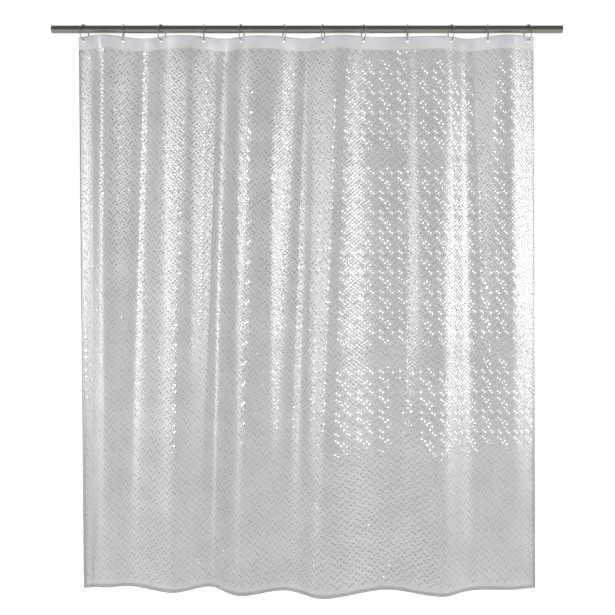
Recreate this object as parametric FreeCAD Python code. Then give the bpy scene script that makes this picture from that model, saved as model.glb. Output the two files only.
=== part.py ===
import FreeCAD, Part
import math
import os

# A shower curtain: an embossed plastic film with folded and welded hems, hung from a
# straight steel tube by open wire rings that pass through punched holes in its top hem.
# Millimetres, +Z up. The tube lies along +X and the room side, the front, is towards -Y.
# The origin is the centre of the tube's left end.

# ---- Tube ----
TUBE_DIAMETER = 28.0
TUBE_WALL = 1.0
TUBE_EDGE_BREAK = 0.3      # chamfer on each cut edge
TUBE_FREE_LEFT = 94.0      # bare tube beyond the film's left edge
TUBE_FREE_RIGHT = 101.0    # bare tube beyond the film's right edge

# ---- Rings: round wire bent to a circle, its two ends left open at the back ----
RING_WIRE = 4.0            # wire diameter
RING_BORE = 52.0           # clear diameter inside the ring
RING_OPENING = 2.5         # between the two wire ends
RING_OPENING_ANGLE = 62.0  # from the ring's lowest point up round its back
RING_SEAT = 0.3            # clearance between the ring and the top of the tube
# Turn of each ring about the vertical: positive moves its front to the left.
RING_TURNS = [19.0, -7.0, 19.0, -9.0, 16.0, -11.0, 13.0, -12.0, 11.0, -13.0, 15.0, -15.0]

# ---- Film, cut flat ----
FILM_WIDTH = 1800.0
FILM_DROP = 2000.0
FILM_SOLID = 1.5           # thickness of the solid that stands for the 0.12 mm film
HOLE_PLAY = 8.0            # a hole's diameter over that of the wire that passes through it
HOLE_DROP = 17.0           # from the top edge down to a hole's centre
HOLE_SIDE = 24.0           # from a side edge in to the first hole's centre
HOLE_SEAT = 0.6            # clearance between the ring and the upper edge of its hole

# ---- Hems: a second layer, folded to the back and welded ----
HEM_SOLID = 1.0
HEM_CLEARANCE = 0.3        # between the solids of the film and of a hem
TOP_HEM_DEPTH = 45.0
BOTTOM_HEM_DEPTH = 12.0
SIDE_HEM_WIDTH = 12.0
HEM_CORNER_GAP = 0.5       # between a side hem's end and the hem that crosses it

# ---- How the film hangs ----
# Each span between two holes closes up to this share of its flat length, and the film
# between them swells to the front and to the back in turn, starting at the front.
SPAN_SHARES = [0.885, 0.867, 0.954, 0.854, 0.967, 0.879, 0.917, 0.992, 0.992, 0.835, 0.904]
EDGE_SHARE = 0.93          # the same, for the strips outside the end holes
EDGE_DEPTH = -11.0         # the top corners curl this far back
# The bottom edge: the side edges and the folds between them, each as its place along the
# hung width and its depth towards the front.
BOTTOM_LEAN = 13.0         # the bottom edge hangs this far to the right of the top edge
BOTTOM_PLACES = [0.0, 0.024, 0.101, 0.198, 0.277, 0.349, 0.444, 0.531, 0.669, 0.786, 0.863, 0.953, 1.0]
BOTTOM_DEPTHS = [-27.0, -23.0, -43.0, 14.0, -34.0, 40.0, -6.0, 63.0, -13.0, 46.0, -10.0, -13.0, -30.0]

HOLE_REACH = 12.0          # half the length of the punch that cuts a hole
COLUMN_STEPS = 4           # surface points between two neighbouring fold lines
SIDE_HEM_STEPS = 3         # surface points across a side hem

# ---- Worked out from the sizes above ----
tube_radius = TUBE_DIAMETER / 2
wire_radius = RING_WIRE / 2
ring_radius = (RING_BORE + RING_WIRE) / 2
hole_radius = wire_radius + HOLE_PLAY / 2
ring_centre_z = tube_radius + RING_SEAT - RING_BORE / 2
hole_z = ring_centre_z - RING_BORE / 2 + HOLE_SEAT - hole_radius
film_top_z = hole_z + HOLE_DROP

span_count = len(SPAN_SHARES)
flat_pitch = (FILM_WIDTH - 2 * HOLE_SIDE) / span_count
hung_pitches = [flat_pitch * share for share in SPAN_SHARES]
film_left = TUBE_FREE_LEFT
hung_side = HOLE_SIDE * EDGE_SHARE
ring_places = [film_left + hung_side + sum(hung_pitches[:i]) for i in range(span_count + 1)]
hung_width = 2 * hung_side + sum(hung_pitches)
tube_length = TUBE_FREE_LEFT + hung_width + TUBE_FREE_RIGHT


def swell(flat, hung):
    """How far a strip of this flat length bows out when its ends are this near: a half sine wave."""
    return 2 * hung / math.pi * math.sqrt(flat / hung - 1)


def top_lines():
    """Places and depths of the fold lines at the top edge: edge, hole, fold, hole, ..., hole, edge."""
    lines = [(film_left, EDGE_DEPTH)]
    for i, hung in enumerate(hung_pitches):
        side = 1 if i % 2 == 0 else -1
        lines.append((ring_places[i], 0.0))
        lines.append((ring_places[i] + hung / 2, side * swell(flat_pitch, hung)))
    lines.append((ring_places[-1], 0.0))
    lines.append((film_left + hung_width, EDGE_DEPTH))
    return lines


def bottom_lines():
    """The same lines at the bottom edge. A hole's line lies midway between its neighbours, or
    as far in from a side edge as at the top."""
    folds = [
        (film_left + BOTTOM_LEAN + place * hung_width, depth)
        for place, depth in zip(BOTTOM_PLACES, BOTTOM_DEPTHS)
    ]
    shares = [0.5] * (span_count - 1)
    shares.insert(0, hung_side / (folds[1][0] - folds[0][0]))
    shares.append(1 - hung_side / (folds[-1][0] - folds[-2][0]))
    lines = [folds[0]]
    for share, before, after in zip(shares, folds, folds[1:]):
        lines.append(tuple(a + share * (b - a) for a, b in zip(before, after)))
        lines.append(after)
    return lines


TOP_LINES = top_lines()
BOTTOM_LINES = bottom_lines()


def spline(points, parameters):
    """A smooth curve through the points, at these parameter values."""
    curve = Part.BSplineCurve()
    curve.interpolate(Points=points, Parameters=parameters)
    return curve


def row_curve(drop):
    """The film's middle line at a drop below its top edge: a spline through the fold lines.
    Every row has the same parameter values, so each fold line runs straight down the film."""
    share = drop / FILM_DROP
    points = []
    for (top_x, top_depth), (bottom_x, bottom_depth) in zip(TOP_LINES, BOTTOM_LINES):
        x = top_x + share * (bottom_x - top_x)
        depth = top_depth + share * (bottom_depth - top_depth)
        points.append(FreeCAD.Vector(x, -depth, film_top_z - drop))
    return spline(points, [x for x, depth in TOP_LINES])


def steps(start, end, count):
    """Evenly spaced values from start to end in count steps."""
    return [start + (end - start) * i / count for i in range(count + 1)]


def whole_width(curve):
    """Curve parameters over the whole row, evenly spaced between each two fold lines."""
    knots = curve.getKnots()
    inner = [steps(a, b, COLUMN_STEPS)[:-1] for a, b in zip(knots, knots[1:])]
    return sum(inner, []) + [knots[-1]]


def left_strip(curve):
    """Curve parameters over a side hem's width at the left edge."""
    edge, hole = curve.getKnots()[:2]
    return steps(edge, edge + (hole - edge) * SIDE_HEM_WIDTH / HOLE_SIDE, SIDE_HEM_STEPS)


def right_strip(curve):
    """The same at the right edge."""
    hole, edge = curve.getKnots()[-2:]
    return steps(edge - (edge - hole) * SIDE_HEM_WIDTH / HOLE_SIDE, edge, SIDE_HEM_STEPS)


def row_points(strip, drop, offset):
    """Points of one row of a strip, moved off the film's middle by offset towards the back."""
    curve = row_curve(drop)
    points = []
    for parameter in strip(curve):
        along = curve.tangent(parameter)[0]
        back = FreeCAD.Vector(-along.y, along.x, 0)
        back.normalize()
        points.append(curve.value(parameter) + back * offset)
    return points


def film_face(strip, top, bottom, offset):
    """The film's surface at this offset between two drops: smooth across, straight down."""
    parameters = strip(row_curve(top))
    rows = [spline(row_points(strip, drop, offset), parameters) for drop in (top, bottom)]
    surface = Part.BSplineSurface()
    surface.buildFromPolesMultsKnots(
        [row.getPoles() for row in rows],
        [2, 2],
        rows[0].getMultiplicities(),
        [top, bottom],
        rows[0].getKnots(),
        False,
        False,
        1,
        rows[0].Degree,
    )
    return surface.toShape()


def film_solid(strip, top, bottom, near, far):
    """The closed solid of a strip between two drops and between two offsets from the film's middle."""
    faces = [film_face(strip, top, bottom, offset) for offset in (near, far)]
    walls = []
    for edge in faces[0].Edges:
        middle = edge.CenterOfMass
        facing = min(faces[1].Edges, key=lambda other: other.CenterOfMass.distanceToPoint(middle))
        walls.append(Part.makeRuledSurface(edge, facing))
    shell = Part.makeShell(faces + walls)
    shell.sewShape()
    solid = Part.makeSolid(shell)
    if solid.Volume < 0:
        solid.reverse()
    return solid


def punched(solid):
    """The solid with its row of holes, each cleared along the ring's wire that passes through it."""
    holes = row_points(lambda curve: curve.getKnots()[1::2], HOLE_DROP, 0)
    for middle, turn in zip(holes, RING_TURNS):
        back = FreeCAD.Vector(math.sin(math.radians(turn)), math.cos(math.radians(turn)), 0)
        start = middle - back * HOLE_REACH
        solid = solid.cut(Part.makeCylinder(hole_radius, 2 * HOLE_REACH, start, back))
    return solid.Solids[0]


def curtain_sheet():
    return punched(film_solid(whole_width, 0, FILM_DROP, -FILM_SOLID / 2, FILM_SOLID / 2))


def hem(strip, top, bottom):
    """A strip of the second layer behind the film, between two drops."""
    near = FILM_SOLID / 2 + HEM_CLEARANCE
    return film_solid(strip, top, bottom, near, near + HEM_SOLID)


def top_hem():
    return punched(hem(whole_width, 0, TOP_HEM_DEPTH))


def bottom_hem():
    return hem(whole_width, FILM_DROP - BOTTOM_HEM_DEPTH, FILM_DROP)


def side_hem(strip):
    top = TOP_HEM_DEPTH + HEM_CORNER_GAP
    return hem(strip, top, FILM_DROP - BOTTOM_HEM_DEPTH - HEM_CORNER_GAP)


def rod_tube():
    start = FreeCAD.Vector(0, 0, 0)
    along = FreeCAD.Vector(1, 0, 0)
    outside = Part.makeCylinder(tube_radius, tube_length, start, along)
    tube = outside.cut(Part.makeCylinder(tube_radius - TUBE_WALL, tube_length, start, along))
    rims = [edge for edge in tube.Edges if isinstance(edge.Curve, Part.Circle)]
    return tube.makeChamfer(TUBE_EDGE_BREAK, rims).Solids[0]


def ring(place, turn):
    """Wire bent to a circle across the tube, its ends rounded, turned about the vertical."""
    origin = FreeCAD.Vector(0, 0, 0)
    along_x, along_y, along_z = (FreeCAD.Vector(*axis) for axis in ((1, 0, 0), (0, 1, 0), (0, 0, 1)))
    gap = math.degrees((RING_OPENING + RING_WIRE) / ring_radius)
    bend = 360 - gap
    wire = Part.makeTorus(ring_radius, wire_radius, origin, along_z, -180, 180, bend)
    for angle in (0, math.radians(bend)):
        end = FreeCAD.Vector(ring_radius * math.cos(angle), ring_radius * math.sin(angle), 0)
        wire = wire.fuse(Part.makeSphere(wire_radius, end))
    # The opening starts at +X of the wire's own circle. The circle is stood up with the
    # opening at its lowest point, which is then carried round to its place at the back.
    wire.rotate(origin, along_z, gap / 2)
    wire.rotate(origin, along_y, 90)
    wire.rotate(origin, along_x, RING_OPENING_ANGLE)
    wire.rotate(origin, along_z, -turn)
    wire.translate(FreeCAD.Vector(place, 0, ring_centre_z))
    return wire.Solids[0]


def save(name, solid):
    solid.exportStep("parts/" + name + ".step")
    print(name, "valid" if solid.isValid() else "NOT VALID", round(solid.Volume))


os.makedirs("parts", exist_ok=True)
save("rod_tube", rod_tube())
for number, (place, turn) in enumerate(zip(ring_places, RING_TURNS), start=1):
    save("ring_%02d" % number, ring(place, turn))
save("curtain_sheet", curtain_sheet())
save("top_hem", top_hem())
save("bottom_hem", bottom_hem())
save("side_hem_left", side_hem(left_strip))
save("side_hem_right", side_hem(right_strip))
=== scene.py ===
import math

import bpy
import numpy as np
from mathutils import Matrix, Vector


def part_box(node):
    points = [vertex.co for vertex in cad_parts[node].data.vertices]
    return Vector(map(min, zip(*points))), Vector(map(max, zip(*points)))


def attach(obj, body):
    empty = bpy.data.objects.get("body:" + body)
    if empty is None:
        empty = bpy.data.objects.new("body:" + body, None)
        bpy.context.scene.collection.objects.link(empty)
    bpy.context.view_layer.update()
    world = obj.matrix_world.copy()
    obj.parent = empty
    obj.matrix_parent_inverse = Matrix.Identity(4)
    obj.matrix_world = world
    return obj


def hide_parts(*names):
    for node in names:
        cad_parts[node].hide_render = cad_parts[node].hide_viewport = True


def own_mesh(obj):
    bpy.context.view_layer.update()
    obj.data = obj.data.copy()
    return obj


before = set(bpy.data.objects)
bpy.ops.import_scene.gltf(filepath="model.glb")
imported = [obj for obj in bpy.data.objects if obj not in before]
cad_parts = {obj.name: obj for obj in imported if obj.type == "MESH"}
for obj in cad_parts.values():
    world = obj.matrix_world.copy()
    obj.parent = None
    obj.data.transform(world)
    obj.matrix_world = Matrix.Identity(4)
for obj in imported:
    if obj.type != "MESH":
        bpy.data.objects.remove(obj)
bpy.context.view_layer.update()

bl_info = {
    "name": "Embossed Shower Curtain",
    "version": (1, 0, 0),
    "blender": (4, 5, 0),
    "location": "View3D > Sidebar > Shower Curtain",
    "description": "Finishes the shower curtain's frame with its hung film, hems, metal and studio",
    "category": "Object",
}

# ---- Sizes read from the frame, in metres ----
SHEET_LOW, SHEET_HIGH = (np.array(corner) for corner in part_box("curtain_sheet"))
RING_NAMES = sorted(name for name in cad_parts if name.startswith("ring_"))
RING_PLACES = np.array([(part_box(name)[0].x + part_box(name)[1].x) / 2 for name in RING_NAMES])
HEM_NAMES = ("top", "bottom", "left", "right")
CELL_NAMES = ("polished_cells", "satin_cells", "cell_backs")

# ---- The film, cut flat, in metres ----
FILM_WIDTH = 1.8
FILM_DROP = float(SHEET_HIGH[2] - SHEET_LOW[2])
FILM_TOP = float(SHEET_HIGH[2])
HOLE_SIDE = 0.024          # from a side edge in to the first hole's centre
HOLE_DROP = 0.017          # from the top edge down to a hole's centre
HOLE_RADIUS = 0.006
HOLE_PITCH = (FILM_WIDTH - 2 * HOLE_SIDE) / (len(RING_PLACES) - 1)
HOLE_PLACES = HOLE_SIDE + HOLE_PITCH * np.arange(len(RING_PLACES))
HOLE_BLOCK = 0.012         # half the square of mesh around a hole
HOLE_BAND = (HOLE_DROP - HOLE_BLOCK, HOLE_DROP + HOLE_BLOCK)     # top and bottom of those squares
TOP_HEM = 0.045
BOTTOM_HEM = 0.012
SIDE_HEM = 0.012
HEM_CORNER_GAP = 0.0005    # from a side hem's end to the top or the bottom hem
HEM_FOLD = 0.0005          # radius of the fold at a hem's edge
HEM_REST = 0.0005          # from the film to the hem where they are welded
WELD_START = 0.6           # shares of a hem's depth between which it closes on the film
WELD_END = 0.95

# ---- How the film hangs: the lines that its folds follow down from the holes ----
EDGE_SHARE = 0.93          # hung width over flat width, outside the end holes
EDGE_DEPTH = -0.011        # the top corners curl back
BOTTOM_LEAN = 0.013        # the bottom edge hangs this far to the right of the top edge
# The bottom edge's fold lines: shares of its hung width, and depths towards the front in metres.
BOTTOM_PLACES = (0.0, 0.024, 0.101, 0.198, 0.277, 0.349, 0.444, 0.531, 0.669, 0.786, 0.863, 0.953, 1.0)
BOTTOM_DEPTHS = (
    -0.027, -0.023, -0.043, 0.014, -0.034, 0.040, -0.006, 0.063, -0.013, 0.046, -0.010, -0.013, -0.030,
)

# Soft folds over the pleats: place along the top, place along the bottom, half width and height in
# metres, and the shares of the drop where the fold starts and ends.
SOFT_FOLDS = (
    (0.150, 0.150, 0.030, -0.012, -0.3, 1.3),
    (0.505, 0.500, 0.030, 0.008, -0.3, 0.7),
    (0.585, 0.575, 0.030, -0.006, -0.3, 1.3),
    (0.675, 0.660, 0.030, 0.004, -0.3, 1.0),
    (0.790, 0.790, 0.025, 0.006, 0.0, 0.9),
    (0.945, 0.920, 0.025, 0.006, -0.3, 0.9),
    (1.280, 1.280, 0.030, -0.012, -0.2, 0.7),
)
FOLD_FADE = 0.25           # share of the drop over which a soft fold starts or ends
RELIEF_START = 0.015       # down from the top edge, where soft folds and ripples begin
RELIEF_FULL = 0.10         # and where they have their whole height
RIPPLE_SEED = 208
RIPPLE_COUNT = 26
RIPPLE_WAVES = (0.03, 0.07)        # shortest and longest, from crest to crest
RIPPLE_LEAN = 0.05                 # typical lean to one side over the whole drop
RIPPLE_BENDS = (0.3, 1.6)          # fewest and most bends over the drop
RIPPLE_SWAY = 0.01                 # reach of a bend to each side
RIPPLE_STEADY = 0.6                # share of a ripple's height that doesn't come and go
RIPPLE_WHOLE = 0.1                 # a wave of this length has its whole height, a shorter one less

# ---- The embossing that the roller leaves, in metres ----
LATTICE_ACROSS = 0.0074    # from a bump of the shallow egg-crate to the next hollow, across
LATTICE_DOWN = 0.0070      # and down
LATTICE_HEIGHT = 0.0004
DASH_PITCH = 0.0156        # across, from one dash to the next
DASH_DROP = 0.024          # down, from one dash to the next in its column
DASH_START = 0.012         # from the top hem's weld down to the first dash
DASH_ANGLE = math.radians(40)
CELL_SPACING = 0.0101      # between the middles of the two cells of a dash
ROLLER_COLUMNS = 4         # dashes across before the roller repeats
ROLLER_ROWS = 3            # dashes down before it repeats
CELL_SEED = 3
# The polished cells, by dash column, dash row and cell.
POLISHED_CELLS = (
    (0, 0, 0), (0, 0, 1), (0, 1, 0), (0, 1, 1), (1, 1, 0),
    (1, 1, 1), (2, 0, 0), (2, 0, 1), (1, 2, 1), (2, 2, 0),
)
CELL_LEAN = 0.18           # mean slope of a polished cell across the film, rise over run
CELL_TILT = 0.06           # how far from that a polished cell's own slope can be
SATIN_TILT = 0.16          # largest slope of a satin cell across the film
CELL_NOD = 0.012           # largest slope of a cell down the film
CELL_TOP = 0.8             # length of a cell's flat top over the cell's own
BACK_SHARE = 0.5           # height of a cell on the film's back over its height on the front

# ---- How finely the sheets are cut into quads ----
TRACE_POINTS = 4001        # along the top edge, to measure its length
SLOPE_STEP = 0.0005        # to each side of a place, to find how the film faces there, in metres
EDGE_STEPS = 3             # across, from a side edge to the first hole's square
PITCH_STEPS = 22           # across, between two holes' squares
HOLE_STEPS = 8             # along each side of a hole's square
HOLE_RINGS = (0.4, 0.75, 1.0)      # rings of quads around a hole: shares of the way in to its edge
LIP_STEPS = 2              # down, from the top edge to the holes' squares
BAND_STEPS = 4             # down, from there to the top hem's weld, on the film
HEM_BAND_STEPS = 5         # and on the hem
DROP_STEPS = 100           # down, between the top and the bottom hem
BOTTOM_STEPS = 3           # down, over the bottom hem, on the film
NARROW_STEPS = 4           # over the width of a narrow hem
FOLD_STEPS = 5             # round a hem's fold

# ---- Light through the film, and noise ----
PEVA_IOR = 1.49
HEM_CLEAR = 0.79           # share of the light that the smooth band under the top hem lets through
CLOUD_SCALE = 9.0          # clouds about 0.1 m across
CLOUD_DIM = 0.95           # brightness of the dimmest cloud
NOISE_SPAN = {"From Min": 0.3, "From Max": 0.7}     # where nearly all of a noise's values lie
FIRST_COLOUR, SECOND_COLOUR, MIXED_COLOUR = 6, 7, 2     # the sockets of a colour mix

# ---- The camera and the studio, in metres ----
CAMERA_PLACE = (0.9216, -3.0, -0.7145)
CAMERA_LENS = 48.7         # focal length in millimetres
CAMERA_SHIFT = -0.130
FLOOR_RADII = (0.01, 0.5, 1.5, 4.0, 14.0)
FLOOR_SIDES = 96

# ---- The light panels, in metres: an "out" is how far to the right of the camera one stands ----
LIGHT_PLANE = -1.8         # the strips and the ring panel, from the tube towards the camera
PANE_PLANE = -0.3          # and the window panes
PANE_HEIGHTS = ((0.309, 0.664), (-0.466, 0.248), (-0.883, -0.546))     # from the camera's height
PANE_OUT = 0.63
PANE_WIDTH = 0.98
RIGHT_OUT = 3.6
RIGHT_WIDTH = 0.3
LEFT_OUT = -2.0
LEFT_WIDTH = 0.25
STRIP_LIFT = -0.15         # height of the strips' middles over the camera
STRIP_HEIGHT = 2.3
BACK_LIGHT = 0.4           # light of the strips behind the film over that of the strips in front
RING_LIFT = 0.43           # height of the middle of the panel that the rings' wire mirrors
RING_PANEL_WIDTH = 3.0
RING_PANEL_HEIGHT = 0.6


# ---------------------------------------------------------------- settings


class CurtainFilmSettings(bpy.types.PropertyGroup):
    """Sizes and colours of the film and its embossing."""

    thickness: bpy.props.FloatProperty(
        name="Film thickness", description="Thickness of the film", default=0.0002, min=0.0001,
        max=0.001, subtype="DISTANCE", unit="LENGTH", precision=5,
    )
    ripple_height: bpy.props.FloatProperty(
        name="Ripple height", description="Height of the fine ripples between the folds",
        default=0.0004, min=0.0, max=0.004, subtype="DISTANCE", unit="LENGTH", precision=5,
    )
    cell_length: bpy.props.FloatProperty(
        name="Cell length", description="Length of one embossed cell, along its dash",
        default=0.0062, min=0.003, max=0.009, subtype="DISTANCE", unit="LENGTH", precision=5,
    )
    cell_width: bpy.props.FloatProperty(
        name="Cell width", description="Width of one embossed cell, across its dash",
        default=0.0054, min=0.003, max=0.008, subtype="DISTANCE", unit="LENGTH", precision=5,
    )
    cell_height: bpy.props.FloatProperty(
        name="Cell height", description="Height of the middle of a cell over the film",
        default=0.0005, min=0.0001, max=0.001, subtype="DISTANCE", unit="LENGTH", precision=5,
    )
    colour: bpy.props.StringProperty(
        name="Film colour", description="sRGB hex colour of the milky film", default="#E8E8E9",
    )
    hem_colour: bpy.props.StringProperty(
        name="Hem colour", description="sRGB hex colour of the smooth welded hems", default="#FBFBFC",
    )
    cell_colour: bpy.props.StringProperty(
        name="Cell colour", description="sRGB hex colour of the clearer cells", default="#DEDEDF",
    )


class CurtainMetalSettings(bpy.types.PropertyGroup):
    """Colours of the tube and the rings."""

    tube_colour: bpy.props.StringProperty(
        name="Tube colour", description="sRGB hex colour of the brushed steel", default="#807F79",
    )
    ring_colour: bpy.props.StringProperty(
        name="Ring colour", description="sRGB hex colour of the bright plated wire", default="#A6A6A2",
    )


class CurtainStageSettings(bpy.types.PropertyGroup):
    """The plain studio around the curtain."""

    floor_gap: bpy.props.FloatProperty(
        name="Floor gap", description="From the film's bottom edge down to the floor",
        default=0.075, min=0.01, max=0.5, subtype="DISTANCE", unit="LENGTH",
    )
    backdrop: bpy.props.FloatProperty(
        name="Backdrop light", description="Brightness of the surroundings as a light",
        default=0.79, min=0.0, max=3.0,
    )
    window_light: bpy.props.FloatProperty(
        name="Window light", description="Radiance of the window panes close in front of the film",
        default=8.0, min=0.0, max=60.0,
    )
    right_light: bpy.props.FloatProperty(
        name="Right light", description="Radiance of the tall strip far to the right, in front",
        default=215.0, min=0.0, max=500.0,
    )
    ring_light: bpy.props.FloatProperty(
        name="Ring light", description="Radiance of the high panel that the rings mirror",
        default=1.0, min=0.0, max=20.0,
    )
    left_light: bpy.props.FloatProperty(
        name="Left light", description="Radiance of the tall strip far to the left, in front",
        default=85.0, min=0.0, max=500.0,
    )


# ---------------------------------------------------------------- small helpers


def linear(hex_colour):
    """An sRGB hex colour as linear red, green, blue and alpha."""
    srgb = [int(hex_colour[i:i + 2], 16) / 255 for i in (1, 3, 5)]
    channels = [c / 12.92 if c <= 0.04045 else ((c + 0.055) / 1.055) ** 2.4 for c in srgb]
    return (*channels, 1.0)


def add_node(tree, kind, links=None, inputs=None, **settings):
    """One shader node with its settings, its input values and its incoming links."""
    node = tree.nodes.new(kind)
    for name, value in settings.items():
        setattr(node, name, value)
    for socket, value in (inputs or {}).items():
        node.inputs[socket].default_value = value
    for socket, source in (links or {}).items():
        tree.links.new(source, node.inputs[socket])
    return node


def empty_material(name):
    """A new material with no nodes, and its node tree."""
    material = bpy.data.materials.new(name)
    material.use_nodes = True
    material.node_tree.nodes.clear()
    return material, material.node_tree


def mesh_piece(name, points, quads, flat, material):
    """A new object at the origin from arrays of points, quads and the flat place of each point."""
    mesh = bpy.data.meshes.new(name)
    mesh.vertices.add(len(points))
    mesh.vertices.foreach_set("co", points.astype(np.float32).ravel())
    mesh.loops.add(quads.size)
    mesh.loops.foreach_set("vertex_index", quads.astype(np.int32).ravel())
    mesh.polygons.add(len(quads))
    mesh.polygons.foreach_set("loop_start", np.arange(0, quads.size, 4, dtype=np.int32))
    mesh.polygons.foreach_set("use_smooth", np.ones(len(quads), bool))
    mesh.update(calc_edges=True)
    layer = mesh.uv_layers.new(name="flat_cut")
    layer.uv.foreach_set("vector", flat[quads.ravel()].astype(np.float32).ravel())
    mesh.materials.append(material)
    piece = bpy.data.objects.new(name, mesh)
    bpy.context.scene.collection.objects.link(piece)
    return piece


def between(low, high, value):
    """0 below low, 1 above high and a smooth S between them."""
    share = np.clip((value - low) / (high - low), 0, 1)
    return share * share * (3 - 2 * share)


# ---------------------------------------------------------------- the film's shape


def smooth_through(places, values, at):
    """The natural cubic spline through (places, values), read at an array. Its second
    derivatives solve the usual three-term equations, with none at the two ends."""
    places = np.asarray(places, float)
    values = np.asarray(values, float)
    gaps = np.diff(places)
    slopes = np.diff(values) / gaps
    count = len(places)
    matrix = np.eye(count)
    right = np.zeros(count)
    inner = np.arange(1, count - 1)
    matrix[inner, inner - 1] = gaps[:-1]
    matrix[inner, inner] = 2 * (gaps[:-1] + gaps[1:])
    matrix[inner, inner + 1] = gaps[1:]
    right[inner] = 6 * np.diff(slopes)
    bends = np.linalg.solve(matrix, right)
    span = np.clip(np.searchsorted(places, at, side="right") - 1, 0, count - 2)
    gap = gaps[span]
    before = (places[span + 1] - at) / gap
    after = 1 - before
    cubic = (before**3 - before) * bends[span] + (after**3 - after) * bends[span + 1]
    return before * values[span] + after * values[span + 1] + cubic * gap**2 / 6


def fold_lines():
    """Places and depths of the fold lines at the top edge and at the bottom edge: side edge, hole,
    fold, hole, ..., hole, side edge. At the top a span of flat length f hung over h swells by
    2h/pi * sqrt(f/h - 1), to the front and to the back in turn. At the bottom a hole's line lies
    midway between its neighbours, or as far in from a side edge as at the top."""
    hung = np.diff(RING_PLACES)
    swell = 2 * hung / math.pi * np.sqrt(HOLE_PITCH / hung - 1)
    swell[1::2] *= -1
    edge = HOLE_SIDE * EDGE_SHARE
    top_x = np.zeros(2 * len(RING_PLACES) + 1)
    top_depth = np.zeros_like(top_x)
    top_x[1::2] = RING_PLACES
    top_x[2:-1:2] = RING_PLACES[:-1] + hung / 2
    top_x[0] = RING_PLACES[0] - edge
    top_x[-1] = RING_PLACES[-1] + edge
    top_depth[2:-1:2] = swell
    top_depth[[0, -1]] = EDGE_DEPTH

    width = top_x[-1] - top_x[0]
    folds = top_x[0] + BOTTOM_LEAN + np.array(BOTTOM_PLACES) * width
    depths = np.array(BOTTOM_DEPTHS)
    shares = np.full(len(RING_PLACES), 0.5)
    shares[0] = edge / (folds[1] - folds[0])
    shares[-1] = 1 - edge / (folds[-1] - folds[-2])
    bottom_x = np.zeros_like(top_x)
    bottom_depth = np.zeros_like(top_x)
    bottom_x[0::2] = folds
    bottom_depth[0::2] = depths
    bottom_x[1::2] = folds[:-1] + shares * np.diff(folds)
    bottom_depth[1::2] = depths[:-1] + shares * np.diff(depths)
    return top_x, top_depth, bottom_x, bottom_depth


TOP_X, TOP_DEPTH, BOTTOM_X, BOTTOM_DEPTH = fold_lines()

# The flat place of each point along the top edge: the length of the edge up to it, as a share
# of the whole edge, with the holes held exactly at their pitch.
FINE = np.linspace(TOP_X[0], TOP_X[-1], TRACE_POINTS)
FINE_DEPTH = smooth_through(TOP_X, TOP_DEPTH, FINE)
RUN = np.concatenate([[0], np.cumsum(np.hypot(np.diff(FINE), np.diff(FINE_DEPTH)))])
FLAT_MARKS = np.concatenate([[0], HOLE_PLACES, [FILM_WIDTH]])
RUN_MARKS = np.interp(np.concatenate([[TOP_X[0]], RING_PLACES, [TOP_X[-1]]]), FINE, RUN)
FINE_FLAT = np.interp(RUN, RUN_MARKS, FLAT_MARKS)


def ripples(x, share):
    """Fine irregular ripples, as a height of about 1: a sum of long upright waves of random length
    and phase, each leaning and bending a little with the drop."""
    random = np.random.default_rng(RIPPLE_SEED)
    waves = random.uniform(*RIPPLE_WAVES, RIPPLE_COUNT)
    phases = random.uniform(0, 2 * math.pi, RIPPLE_COUNT)
    leans = random.normal(0, RIPPLE_LEAN, RIPPLE_COUNT)
    bends = random.uniform(*RIPPLE_BENDS, RIPPLE_COUNT)
    turns = random.uniform(0, 2 * math.pi, RIPPLE_COUNT)
    total = np.zeros_like(x)
    for wave, phase, lean, bend, turn in zip(waves, phases, leans, bends, turns):
        along = x + lean * share + RIPPLE_SWAY * np.sin(2 * math.pi * bend * share + turn)
        swing = np.sin(2 * math.pi * bend * share + phase)
        strength = (RIPPLE_STEADY + (1 - RIPPLE_STEADY) * swing) * wave / RIPPLE_WHOLE
        total += strength * np.sin(2 * math.pi * along / wave + phase)
    return total / math.sqrt(RIPPLE_COUNT)


def film_point(flat_x, flat_y, settings):
    """The hung place of the film's middle at a flat place: flat_x from the left edge along the top,
    flat_y down from the top edge. A fold line runs straight from the top edge to the bottom one,
    and each row is a cubic spline through them. Soft folds with a bell-shaped section and the fine
    ripples are added to its depth, and fade out towards the top edge."""
    share = flat_y / FILM_DROP
    place = np.interp(flat_x, FINE_FLAT, FINE)
    x = place * (1 - share) + share * smooth_through(TOP_X, BOTTOM_X, place)
    depth = (1 - share) * smooth_through(TOP_X, TOP_DEPTH, place)
    depth = depth + share * smooth_through(TOP_X, BOTTOM_DEPTH, place)
    relief = settings.ripple_height * ripples(x, share)
    for top, bottom, half_width, height, start, end in SOFT_FOLDS:
        centre = top + (bottom - top) * share
        ends = between(start, start + FOLD_FADE, share) * (1 - between(end - FOLD_FADE, end, share))
        relief = relief + height * ends * np.exp(-(((x - centre) / half_width) ** 2))
    depth = depth + between(RELIEF_START, RELIEF_FULL, flat_y) * relief
    return np.stack([x, -depth, FILM_TOP - flat_y], axis=-1)


def film_frame(flat_x, flat_y, settings):
    """The film's hung place at a flat place, and its unit normal towards the front, from the
    differences over a small step to each side."""
    left, right = flat_x - SLOPE_STEP, flat_x + SLOPE_STEP
    over, under = flat_y - SLOPE_STEP, flat_y + SLOPE_STEP
    across = film_point(right, flat_y, settings) - film_point(left, flat_y, settings)
    down = film_point(flat_x, under, settings) - film_point(flat_x, over, settings)
    normal = np.cross(across, down)
    normal /= np.linalg.norm(normal, axis=-1, keepdims=True)
    normal *= np.where(normal[..., 1:2] > 0, -1, 1)
    return film_point(flat_x, flat_y, settings), normal


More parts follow.
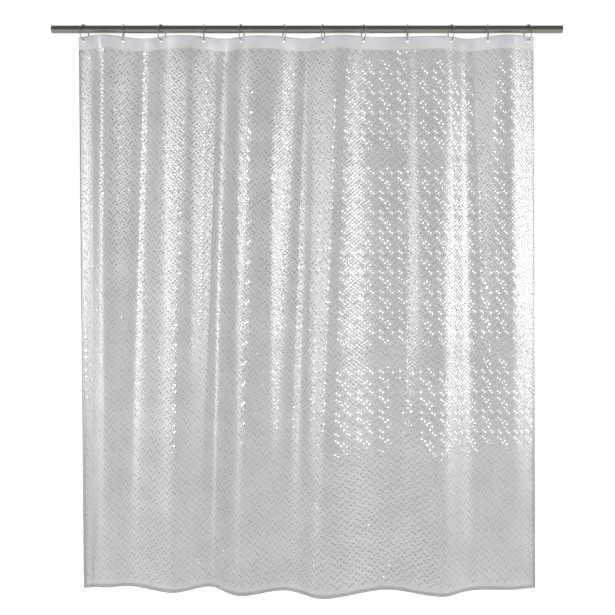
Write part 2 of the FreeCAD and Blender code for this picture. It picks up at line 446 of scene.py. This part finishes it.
def grid_quads(columns, rows):
    """The quads of a grid of points that is stored row by row, facing the front."""
    corner = np.arange(rows - 1)[:, None] * columns + np.arange(columns - 1)[None, :]
    return np.stack([corner, corner + columns, corner + columns + 1, corner + 1], axis=-1)


def cut_lines(marks, steps):
    """Grid lines over a row of marks, each gap cut into its own number of equal steps."""
    parts = [np.linspace(a, b, n, endpoint=False) for a, b, n in zip(marks, marks[1:], steps)]
    return np.concatenate([*parts, [marks[-1]]])


def flat_columns():
    """Grid lines across the film: 3 mm apart around the holes, 6 mm apart between them."""
    marks, steps = [0.0], []
    for place in HOLE_PLACES:
        marks += [place - HOLE_BLOCK, place + HOLE_BLOCK]
        steps += [PITCH_STEPS, HOLE_STEPS]
    steps[0] = EDGE_STEPS
    return cut_lines(marks + [FILM_WIDTH], steps + [EDGE_STEPS])


def plain_grid(columns, rows):
    """A flat grid with no holes."""
    x, y = np.meshgrid(columns, rows)
    return np.stack([x, y], axis=-1).reshape(-1, 2), grid_quads(len(columns), len(rows)).reshape(-1, 4)


def punched_grid(columns, rows):
    """A flat grid with a round hole at each ring. The square block of the grid around a hole is
    replaced by rings of quads, whose points run straight from the block's edge to the circle."""
    x, y = np.meshgrid(columns, rows)
    flat = np.stack([x, y], axis=-1).reshape(-1, 2)
    quads = grid_quads(len(columns), len(rows))
    keep = np.ones(quads.shape[:2], bool)
    round_count = 4 * HOLE_STEPS
    line = np.arange(HOLE_STEPS)
    # The loop starts at the square's lower left corner, and so does the circle.
    angle = math.radians(225) + np.arange(round_count) * 2 * math.pi / round_count
    circle = HOLE_RADIUS * np.stack([np.cos(angle), -np.sin(angle)], axis=-1)
    top = int(np.argmin(abs(rows - HOLE_BAND[0])))
    bottom = top + HOLE_STEPS
    added, extra = [], []
    count = len(flat)
    for place in HOLE_PLACES:
        left = int(np.argmin(abs(columns - (place - HOLE_BLOCK))))
        right = left + HOLE_STEPS
        keep[top:bottom, left:right] = False
        loop = np.concatenate([
            bottom * len(columns) + left + line,
            (bottom - line) * len(columns) + right,
            top * len(columns) + right - line,
            (top + line) * len(columns) + left,
        ])
        edge = np.array([place, HOLE_DROP]) + circle
        loops = [loop]
        for share in HOLE_RINGS:
            extra.append(flat[loop] * (1 - share) + edge * share)
            loops.append(count + np.arange(round_count))
            count += round_count
        for outer, inner in zip(loops, loops[1:]):
            added.append(np.stack([outer, np.roll(outer, -1), np.roll(inner, -1), inner], axis=-1))
    flat = np.concatenate([flat, *extra])
    return tidy_grid(flat, np.concatenate([quads[keep], *added]))


def tidy_grid(flat, quads):
    """Drops the points that no quad uses."""
    used, places = np.unique(quads, return_inverse=True)
    return flat[used], places.reshape(quads.shape)


def face_towards(points, quads, normals):
    """The quads, all turned over if they mostly face away from these normals."""
    a, b, c, d = (points[quads[:, i]] for i in range(4))
    facing = (np.cross(c - a, d - b) * normals[quads[:, 0]]).sum()
    return quads[:, ::-1] if facing < 0 else quads


def give_thickness(piece, thickness):
    """Turns a sheet into a closed shell, half of it to each side of the surface."""
    solid = piece.modifiers.new("film thickness", "SOLIDIFY")
    solid.thickness = thickness
    solid.offset = 0
    solid.use_even_offset = False


# ---------------------------------------------------------------- materials


def flat_coordinates(tree):
    """The piece's flat place in metres, from its own map."""
    source = add_node(tree, "ShaderNodeUVMap", uv_map="flat_cut")
    return source.outputs["UV"]


def cloud_shade(tree, place):
    """A slow change in how clear the film was pressed, as a factor just under 1."""
    cloud = add_node(
        tree, "ShaderNodeTexNoise", {"Vector": place}, {"Scale": CLOUD_SCALE, "Detail": 3.0},
        noise_dimensions="2D",
    )
    shade = add_node(
        tree, "ShaderNodeMapRange", {"Value": cloud.outputs["Fac"]},
        {**NOISE_SPAN, "To Min": CLOUD_DIM, "To Max": 1.0},
    )
    return shade.outputs["Result"]


def film_material(name, colour, hem_colour, roughness, clear, pearl):
    """Calendered PEVA film, milky and soft: light from behind comes through it as an even glow,
    and its satin skin shows the studio lights as long soft streaks along the folds. The roller
    leaves a shallow egg-crate all over it, which breaks each streak into a fine weave. Where the
    top hem is welded to it the film is smooth and whiter."""
    material, tree = empty_material(name)
    place = flat_coordinates(tree)
    down = add_node(tree, "ShaderNodeSeparateXYZ", {"Vector": place}).outputs["Y"]
    below = add_node(
        tree, "ShaderNodeMath", {0: down}, {1: TOP_HEM}, operation="GREATER_THAN",
    ).outputs["Value"]
    base = add_node(
        tree, "ShaderNodeMix", {"Factor": below}, {FIRST_COLOUR: hem_colour, SECOND_COLOUR: colour},
        data_type="RGBA",
    ).outputs[MIXED_COLOUR]
    tint = add_node(
        tree, "ShaderNodeVectorMath", {0: base, "Scale": cloud_shade(tree, place)}, operation="SCALE",
    ).outputs["Vector"]
    waves = add_node(
        tree, "ShaderNodeVectorMath", {0: place},
        {1: (math.pi / LATTICE_ACROSS, math.pi / LATTICE_DOWN, 0)}, operation="MULTIPLY",
    )
    sines = add_node(tree, "ShaderNodeVectorMath", {0: waves.outputs["Vector"]}, operation="SINE")
    crests = add_node(tree, "ShaderNodeSeparateXYZ", {"Vector": sines.outputs["Vector"]})
    crate = add_node(
        tree, "ShaderNodeMath", {0: crests.outputs["X"], 1: crests.outputs["Y"]}, operation="MULTIPLY",
    )
    relief = add_node(
        tree, "ShaderNodeBump", {"Height": crate.outputs["Value"], "Strength": below},
        {"Distance": LATTICE_HEIGHT},
    )
    skin = add_node(
        tree, "ShaderNodeBsdfPrincipled", {"Base Color": tint, "Normal": relief.outputs["Normal"]},
        {"Roughness": roughness, "IOR": PEVA_IOR, "Metallic": pearl},
    )
    glow = add_node(tree, "ShaderNodeBsdfTranslucent", {"Color": tint})
    share = add_node(
        tree, "ShaderNodeMath", {0: below}, {1: clear - HEM_CLEAR, 2: HEM_CLEAR},
        operation="MULTIPLY_ADD",
    )
    mixed = add_node(
        tree, "ShaderNodeMixShader",
        {0: share.outputs["Value"], 1: skin.outputs["BSDF"], 2: glow.outputs["BSDF"]},
    )
    add_node(tree, "ShaderNodeOutputMaterial", {"Surface": mixed.outputs["Shader"]})
    return material


def cell_material(name, colour, roughness, clear, pearl):
    """The same film where the roller pressed it. A polished cell came out clear and glossy, with a
    pearly gleam, so that it flashes white when it mirrors a light and reads a little darker than
    the film when not. A satin one only catches the streaks, and so weaves them."""
    material, tree = empty_material(name)
    shade = cloud_shade(tree, flat_coordinates(tree))
    tint = add_node(
        tree, "ShaderNodeVectorMath", {"Scale": shade}, {0: colour[:3]}, operation="SCALE",
    ).outputs["Vector"]
    skin = add_node(
        tree, "ShaderNodeBsdfPrincipled", {"Base Color": tint},
        {"Roughness": roughness, "IOR": PEVA_IOR, "Metallic": pearl},
    )
    glow = add_node(tree, "ShaderNodeBsdfTranslucent", {"Color": tint})
    mixed = add_node(
        tree, "ShaderNodeMixShader", {1: skin.outputs["BSDF"], 2: glow.outputs["BSDF"]}, {0: clear},
    )
    add_node(tree, "ShaderNodeOutputMaterial", {"Surface": mixed.outputs["Shader"]})
    return material


def brushed_steel_material(settings):
    """Ferritic stainless tube, drawn and then brushed along its length: satin grey, with fine
    lengthwise lines that stretch each reflection around the tube."""
    material, tree = empty_material("brushed_stainless_steel_tube")
    place = add_node(tree, "ShaderNodeTexCoord").outputs["Object"]
    # Brush lines about 0.5 mm apart round the tube and 60 mm long.
    lines = add_node(
        tree, "ShaderNodeMapping", {"Vector": place}, {"Scale": (16.0, 2000.0, 2000.0)},
    )
    brushed = add_node(
        tree, "ShaderNodeTexNoise", {"Vector": lines.outputs["Vector"]}, {"Scale": 1.0, "Detail": 3.0},
    )
    relief = add_node(
        tree, "ShaderNodeBump", {"Height": brushed.outputs["Fac"]},
        {"Strength": 0.15, "Distance": 0.0001},
    )
    roughness = add_node(
        tree, "ShaderNodeMapRange", {"Value": brushed.outputs["Fac"]},
        {**NOISE_SPAN, "To Min": 0.32, "To Max": 0.4},
    )
    steel = add_node(
        tree, "ShaderNodeBsdfPrincipled",
        {"Normal": relief.outputs["Normal"], "Roughness": roughness.outputs["Result"]},
        {"Base Color": linear(settings.tube_colour), "Metallic": 1.0},
    )
    add_node(tree, "ShaderNodeOutputMaterial", {"Surface": steel.outputs["BSDF"]})
    return material


def plated_wire_material(settings):
    """Spring wire with bright nickel plate: it gleams a little warmer and softer than chrome."""
    material, tree = empty_material("bright_nickel_plated_wire")
    place = add_node(tree, "ShaderNodeTexCoord").outputs["Object"]
    # Faint handling marks, 3 mm apart.
    marks = add_node(tree, "ShaderNodeTexNoise", {"Vector": place}, {"Scale": 330.0, "Detail": 2.0})
    roughness = add_node(
        tree, "ShaderNodeMapRange", {"Value": marks.outputs["Fac"]},
        {**NOISE_SPAN, "To Min": 0.2, "To Max": 0.28},
    )
    wire = add_node(
        tree, "ShaderNodeBsdfPrincipled", {"Roughness": roughness.outputs["Result"]},
        {"Base Color": linear(settings.ring_colour), "Metallic": 1.0},
    )
    add_node(tree, "ShaderNodeOutputMaterial", {"Surface": wire.outputs["BSDF"]})
    return material


# ---------------------------------------------------------------- riding


def hang(piece, node):
    """The piece rides on the curtain with a mesh of its own, and the frame's part that it stands in
    for, if any, is hidden."""
    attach(piece, "curtain")
    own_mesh(piece)
    if node:
        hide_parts(node)


# ---------------------------------------------------------------- operators


class CURTAIN_OT_film(bpy.types.Operator):
    """Make the hung film with its punched holes, as one sheet"""

    bl_idname = "curtain.film"
    bl_label = "Hung Film"

    def execute(self, context):
        settings = context.scene.curtain_film
        rows = cut_lines(
            [0.0, *HOLE_BAND, TOP_HEM, FILM_DROP - BOTTOM_HEM, FILM_DROP],
            [LIP_STEPS, HOLE_STEPS, BAND_STEPS, DROP_STEPS, BOTTOM_STEPS],
        )
        flat, quads = punched_grid(flat_columns(), rows)
        points, normals = film_frame(flat[:, 0], flat[:, 1], settings)
        material = film_material(
            "milky_calendered_peva_film", linear(settings.colour), linear(settings.hem_colour),
            roughness=0.34, clear=0.62, pearl=0.1,
        )
        piece = mesh_piece("film", points, face_towards(points, quads, normals), flat, material)
        give_thickness(piece, settings.thickness)
        hang(piece, "curtain_sheet")
        return {"FINISHED"}


class CURTAIN_OT_cells(bpy.types.Operator):
    """Make the embossed cells: low pads in pairs, laid in a herringbone on both faces of the film"""

    bl_idname = "curtain.cells"
    bl_label = "Embossed Cells"

    def execute(self, context):
        settings = context.scene.curtain_film
        centres, leaning, tilt, polished = cell_layout()
        gloss = cell_material(
            "polished_peva_cells", linear(settings.cell_colour), roughness=0.09, clear=0.56, pearl=0.45,
        )
        satin = cell_material(
            "satin_peva_cells", linear(settings.colour), roughness=0.26, clear=0.6, pearl=0.15,
        )
        every, level = np.ones_like(polished), np.zeros_like(tilt)
        for name, side, chosen, slopes, share, material in (
            ("polished_cells", 1, polished, tilt, 1.0, gloss),
            ("satin_cells", 1, ~polished, tilt, 1.0, satin),
            ("cell_backs", -1, every, level, BACK_SHARE, gloss),
        ):
            height = settings.cell_height * share
            points, quads, flat = cell_pads(
                centres[chosen], leaning[chosen], slopes[chosen], height, side, settings,
            )
            piece = mesh_piece(name, points, quads, flat, material)
            piece.data.polygons.foreach_set("use_smooth", np.zeros(len(quads), bool))
            hang(piece, None)
        return {"FINISHED"}


def cell_layout():
    """The flat middles of all cells, the angle of each, the slopes of its top across and down, and
    whether it is polished. Dashes stand in columns that lean left and right in turn, every second
    column half a step lower, and end a quarter of a pitch before the right hem and three quarters
    of a step over the bottom one. A dash is two cells. Slopes and polish repeat with the roller."""
    across = np.arange(SIDE_HEM + DASH_PITCH / 2, FILM_WIDTH - SIDE_HEM - DASH_PITCH / 4, DASH_PITCH)
    down = np.arange(TOP_HEM + DASH_START, FILM_DROP - BOTTOM_HEM - DASH_DROP * 3 / 4, DASH_DROP)
    sites = np.meshgrid(np.arange(len(across)), np.arange(len(down)), [0, 1], indexing="ij")
    column, row, cell = (site.ravel() for site in sites)
    side = np.where(column % 2 == 0, 1.0, -1.0)
    shift = (cell - 0.5) * CELL_SPACING
    x = across[column] + shift * math.cos(DASH_ANGLE)
    y = down[row] + (column % 2) * DASH_DROP / 2 + shift * math.sin(DASH_ANGLE) * side
    random = np.random.default_rng(CELL_SEED)
    chance = random.uniform(-1, 1, (ROLLER_COLUMNS, ROLLER_ROWS, 2, 2))
    polished = np.zeros((ROLLER_COLUMNS, ROLLER_ROWS, 2), bool)
    polished[tuple(np.transpose(POLISHED_CELLS))] = True
    polished_slopes = chance * (CELL_TILT, CELL_NOD) + (CELL_LEAN, 0)
    slopes = np.where(polished[..., None], polished_slopes, chance * (SATIN_TILT, CELL_NOD))
    site = column % ROLLER_COLUMNS, row % ROLLER_ROWS, cell
    return np.stack([x, y], axis=-1), side * DASH_ANGLE, slopes[site], polished[site]


def cell_pads(centres, leaning, tilt, height, side, settings):
    """Pads of five quads on the film's front (side 1) or back (side -1): a flat top at this height,
    tilted by its slopes across and down, and four sloping sides whose feet stand inside the film."""
    along = np.stack([np.cos(leaning), np.sin(leaning)], axis=-1)
    across = np.stack([-np.sin(leaning), np.cos(leaning)], axis=-1)
    corners = np.array([(-1, -1), (1, -1), (1, 1), (-1, 1)]) / 2
    flats, points = [], []
    for scale, lift in ((1.0, 0.0), (CELL_TOP, height)):
        reach = corners[None, :, :1] * along[:, None, :] * settings.cell_length * scale
        reach = reach + corners[None, :, 1:] * across[:, None, :] * settings.cell_width * scale
        flat = centres[:, None, :] + reach
        place, normal = film_frame(flat[..., 0], flat[..., 1], settings)
        rise = lift + (reach * tilt[:, None, :]).sum(axis=-1) * (lift > 0)
        points.append(place + side * normal * rise[..., None])
        flats.append(flat)
    points = np.stack(points, axis=1).reshape(-1, 3)
    flats = np.stack(flats, axis=1).reshape(-1, 2)
    # Of a pad's eight points the first four are its foot and the last four its top.
    pad = np.array([(4, 5, 6, 7), (0, 1, 5, 4), (1, 2, 6, 5), (2, 3, 7, 6), (3, 0, 4, 7)])
    quads = (np.arange(len(centres))[:, None, None] * 2 * len(corners) + pad[None]).reshape(-1, 4)
    return points, quads[:, ::-side], flats


class CURTAIN_OT_hems(bpy.types.Operator):
    """Make the four hems: the film's edge folded to the back and welded"""

    bl_idname = "curtain.hems"
    bl_label = "Folded Hems"

    def execute(self, context):
        settings = context.scene.curtain_film
        material = film_material(
            "welded_peva_hem", linear(settings.colour), linear(settings.hem_colour),
            roughness=0.3, clear=0.6, pearl=0.05,
        )
        for name in HEM_NAMES:
            piece = hem_piece(name, settings, material)
            give_thickness(piece, settings.thickness)
            node = {"top": "top_hem", "bottom": "bottom_hem"}.get(name, "side_hem_" + name)
            hang(piece, node)
        return {"FINISHED"}


def hem_section(reach, depth):
    """Where a hem's section lies: how far in from the edge and how far behind the film. It turns
    half round a small fold, then runs back over the film and closes on it at the weld."""
    turn = np.clip(-reach / HEM_FOLD, 0, math.pi)
    inward = np.where(reach < 0, -HEM_FOLD * np.sin(turn), reach)
    behind = np.where(reach < 0, HEM_FOLD * (1 + np.cos(turn)), 2 * HEM_FOLD)
    closed = between(depth * WELD_START, depth * WELD_END, reach)
    return inward, behind + (HEM_REST - 2 * HEM_FOLD) * closed


def hem_piece(name, settings, material):
    """One hem: its section at every place along its edge, set off behind the film along the film's
    own normal."""
    fold = np.linspace(-HEM_FOLD * math.pi, 0, FOLD_STEPS, endpoint=False)
    if name == "top":
        rows = cut_lines([0.0, *HOLE_BAND, TOP_HEM], [LIP_STEPS, HOLE_STEPS, HEM_BAND_STEPS])
        flat, quads = punched_grid(flat_columns(), np.concatenate([fold, rows]))
        inward, behind = hem_section(flat[:, 1], TOP_HEM)
        at_x, at_y = flat[:, 0], inward
    elif name == "bottom":
        reach = np.concatenate([fold, np.linspace(0, BOTTOM_HEM, NARROW_STEPS + 1)])
        flat, quads = plain_grid(flat_columns(), reach)
        inward, behind = hem_section(flat[:, 1], BOTTOM_HEM)
        at_x, at_y = flat[:, 0], FILM_DROP - inward
    else:
        reach = np.concatenate([fold, np.linspace(0, SIDE_HEM, NARROW_STEPS + 1)])
        ends = (TOP_HEM + HEM_CORNER_GAP, FILM_DROP - BOTTOM_HEM - HEM_CORNER_GAP)
        down = np.linspace(*ends, DROP_STEPS + 1)
        flat, quads = plain_grid(reach, down)
        inward, behind = hem_section(flat[:, 0], SIDE_HEM)
        at_x, at_y = (inward if name == "left" else FILM_WIDTH - inward), flat[:, 1]
    place, normal = film_frame(at_x, at_y, settings)
    points = place - normal * behind[:, None]
    quads = face_towards(points, quads, -normal)
    return mesh_piece("hem_" + name, points, quads, np.stack([at_x, at_y], axis=-1), material)


class CURTAIN_OT_metal(bpy.types.Operator):
    """Finish the steel tube and the wire rings"""

    bl_idname = "curtain.metal"
    bl_label = "Tube and Rings"

    def execute(self, context):
        settings = context.scene.curtain_metal
        steel = brushed_steel_material(settings)
        wire = plated_wire_material(settings)
        for name in ["rod_tube", *RING_NAMES]:
            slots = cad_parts[name].material_slots
            if not slots:
                raise RuntimeError(name + " has no material slot")
            for slot in slots:
                slot.material = steel if name == "rod_tube" else wire
        return {"FINISHED"}


class CURTAIN_OT_declare(bpy.types.Operator):
    bl_idname = "curtain.declare"
    bl_label = "Declare Sheets"

    def execute(self, context):
        return {"FINISHED"}


class CURTAIN_OT_stage(bpy.types.Operator):
    """Set up the camera, the pale floor and the white surroundings"""

    bl_idname = "curtain.stage"
    bl_label = "Studio"

    def execute(self, context):
        settings = context.scene.curtain_stage
        add_camera(context.scene)
        add_floor(SHEET_LOW[2] - settings.floor_gap)
        add_surroundings(context.scene, settings)
        context.scene.view_settings.view_transform = "Standard"
        return {"FINISHED"}


def add_camera(scene):
    """A level camera that looks straight along +Y, opposite the tube's middle and lower than it."""
    camera = bpy.data.objects.new("camera", bpy.data.cameras.new("camera"))
    camera.location = CAMERA_PLACE
    camera.rotation_euler = (math.radians(90), 0, 0)
    camera.data.lens = CAMERA_LENS
    camera.data.shift_y = CAMERA_SHIFT
    scene.collection.objects.link(camera)
    scene.camera = camera


def add_floor(height):
    """A round pale floor, flat, of rings of quads."""
    turn = np.linspace(0, 2 * math.pi, FLOOR_SIDES, endpoint=False)
    radii = np.array(FLOOR_RADII)
    x = radii[:, None] * np.cos(turn) + CAMERA_PLACE[0]
    y = radii[:, None] * np.sin(turn)
    points = np.stack([x, y, np.full_like(x, height)], axis=-1).reshape(-1, 3)
    ring = np.arange(len(radii) - 1)[:, None] * FLOOR_SIDES
    side = np.arange(FLOOR_SIDES)
    inner, after = ring + side, ring + (side + 1) % FLOOR_SIDES
    quads = np.stack([inner, inner + FLOOR_SIDES, after + FLOOR_SIDES, after], axis=-1).reshape(-1, 4)
    material, tree = empty_material("white_painted_studio_floor")
    place = add_node(tree, "ShaderNodeTexCoord").outputs["Object"]
    cloud = add_node(tree, "ShaderNodeTexNoise", {"Vector": place}, {"Scale": 1.5, "Detail": 2.0})
    shade = add_node(
        tree, "ShaderNodeMapRange", {"Value": cloud.outputs["Fac"]}, {"To Min": 0.9, "To Max": 0.93},
    )
    paint = add_node(
        tree, "ShaderNodeBsdfPrincipled", {"Base Color": shade.outputs["Result"]},
        {"Roughness": 0.8, "Emission Color": (1, 1, 1, 1), "Emission Strength": 0.8},
    )
    add_node(tree, "ShaderNodeOutputMaterial", {"Surface": paint.outputs["BSDF"]})
    floor = mesh_piece("studio_floor", points, quads, points[:, :2], material)


def add_surroundings(scene, settings):
    """White surroundings: plain white to the eye, and as light brightest behind the curtain and
    dim on the camera's side, as in a studio with a lit backdrop."""
    world = bpy.data.worlds.new("studio")
    world.use_nodes = True
    tree = world.node_tree
    tree.nodes.clear()
    place = add_node(tree, "ShaderNodeTexCoord").outputs["Generated"]
    parts = add_node(tree, "ShaderNodeSeparateXYZ", {"Vector": place})
    back = add_node(
        tree, "ShaderNodeMapRange", {"Value": parts.outputs["Y"]},
        {"From Min": -0.25, "From Max": 0.35, "To Min": 0.3, "To Max": 1.0},
        interpolation_type="SMOOTHSTEP",
    )
    # A room is never even: broad upright patches, lighter and darker, for the metal to mirror.
    bands = add_node(tree, "ShaderNodeMapping", {"Vector": place}, {"Scale": (6.0, 2.0, 1.2)})
    uneven = add_node(
        tree, "ShaderNodeTexNoise", {"Vector": bands.outputs["Vector"]}, {"Scale": 1.0, "Detail": 1.0},
    )
    room = add_node(
        tree, "ShaderNodeMapRange", {"Value": uneven.outputs["Fac"]},
        {"From Min": 0.4, "From Max": 0.6, "To Min": -0.2, "To Max": 0.25},
    )
    level = add_node(
        tree, "ShaderNodeMath", {0: back.outputs["Result"], 1: room.outputs["Result"]}, operation="ADD",
    )
    light = add_node(
        tree, "ShaderNodeBackground", {"Color": level.outputs["Value"]}, {"Strength": settings.backdrop},
    )
    seen = add_node(tree, "ShaderNodeBackground", None, {"Color": (1, 1, 1, 1), "Strength": 1.0})
    rays = add_node(tree, "ShaderNodeLightPath")
    mixed = add_node(
        tree, "ShaderNodeMixShader",
        {0: rays.outputs["Is Camera Ray"], 1: light.outputs["Background"], 2: seen.outputs["Background"]},
    )
    add_node(tree, "ShaderNodeOutputWorld", {"Surface": mixed.outputs["Shader"]})
    scene.world = world


def add_panel(name, place, width, height, radiance, pieces):
    """An upright light panel that faces the film, from in front of it or from behind, shows only in
    what gleams and lights only some pieces. Its power is radiance times area times pi."""
    data = bpy.data.lights.new(name, "AREA")
    data.shape = "RECTANGLE"
    data.size = width
    data.size_y = height
    data.energy = radiance * width * height * math.pi
    panel = bpy.data.objects.new(name, data)
    panel.location = place
    panel.rotation_euler = (math.copysign(math.pi / 2, -place[1]), 0, 0)
    panel.visible_camera = False
    panel.visible_diffuse = False
    panel.visible_transmission = False
    lit = bpy.data.collections.new(name + "_lights")
    for piece in pieces:
        lit.objects.link(bpy.data.objects[piece])
    panel.light_linking.receiver_collection = lit
    bpy.context.scene.collection.objects.link(panel)


def add_lights(settings):
    """A window of three panes, one over the other, close in front of the film's right half, a high
    panel that the rings mirror, and two tall strips further out on each side, one in front of the
    film and one behind. The window flashes in the polished cells and the strips streak the film."""
    eye_x, eye_z = CAMERA_PLACE[0], CAMERA_PLACE[2]
    for number, (low, high) in enumerate(PANE_HEIGHTS, start=1):
        middle = eye_z + (low + high) / 2
        add_panel(
            "window_pane_%d" % number, (eye_x + PANE_OUT, PANE_PLANE, middle), PANE_WIDTH, high - low,
            settings.window_light, ["polished_cells"],
        )
    add_panel(
        "ring_panel", (eye_x, LIGHT_PLANE, RING_LIFT), RING_PANEL_WIDTH, RING_PANEL_HEIGHT,
        settings.ring_light, RING_NAMES,
    )
    film = ["film", *CELL_NAMES, *("hem_" + name for name in HEM_NAMES)]
    for side, out, width, light in (
        ("right", RIGHT_OUT, RIGHT_WIDTH, settings.right_light),
        ("left", LEFT_OUT, LEFT_WIDTH, settings.left_light),
    ):
        place = (eye_x + out, LIGHT_PLANE, eye_z + STRIP_LIFT)
        add_panel(side + "_strip", place, width, STRIP_HEIGHT, light, film)
        behind = (place[0], -place[1], place[2])
        add_panel(side + "_back_strip", behind, width, STRIP_HEIGHT, light * BACK_LIGHT, film)


class CURTAIN_OT_lights(bpy.types.Operator):
    """Set up the light panels"""

    bl_idname = "curtain.lights"
    bl_label = "Lights"

    def execute(self, context):
        add_lights(context.scene.curtain_stage)
        return {"FINISHED"}


class CURTAIN_PT_panel(bpy.types.Panel):
    """The curtain's sizes, colours and steps"""

    bl_idname = "CURTAIN_PT_panel"
    bl_label = "Shower Curtain"
    bl_space_type = "VIEW_3D"
    bl_region_type = "UI"
    bl_category = "Shower Curtain"

    def draw(self, context):
        for group in SETTINGS:
            box = self.layout.box()
            box.label(text=group.replace("_", " ").capitalize())
            settings = getattr(context.scene, group)
            for name in settings.__annotations__:
                box.prop(settings, name)
        for operator in OPERATORS:
            self.layout.operator(operator.bl_idname)


OPERATORS = (
    CURTAIN_OT_stage, CURTAIN_OT_metal, CURTAIN_OT_film, CURTAIN_OT_cells, CURTAIN_OT_hems,
    CURTAIN_OT_lights, CURTAIN_OT_declare,
)
SETTINGS = {
    "curtain_film": CurtainFilmSettings,
    "curtain_metal": CurtainMetalSettings,
    "curtain_stage": CurtainStageSettings,
}


def register():
    for cls in (*SETTINGS.values(), *OPERATORS, CURTAIN_PT_panel):
        bpy.utils.register_class(cls)
    for name, cls in SETTINGS.items():
        setattr(bpy.types.Scene, name, bpy.props.PointerProperty(type=cls))


def unregister():
    for name in SETTINGS:
        delattr(bpy.types.Scene, name)
    for cls in reversed((*SETTINGS.values(), *OPERATORS, CURTAIN_PT_panel)):
        bpy.utils.unregister_class(cls)


def main():
    register()
    bpy.ops.curtain.stage()
    bpy.ops.curtain.metal()
    bpy.ops.curtain.film()
    bpy.ops.curtain.cells()
    bpy.ops.curtain.hems()
    bpy.ops.curtain.lights()
    bpy.ops.curtain.declare()
    bpy.context.view_layer.update()


if __name__ == "__main__":
    main()
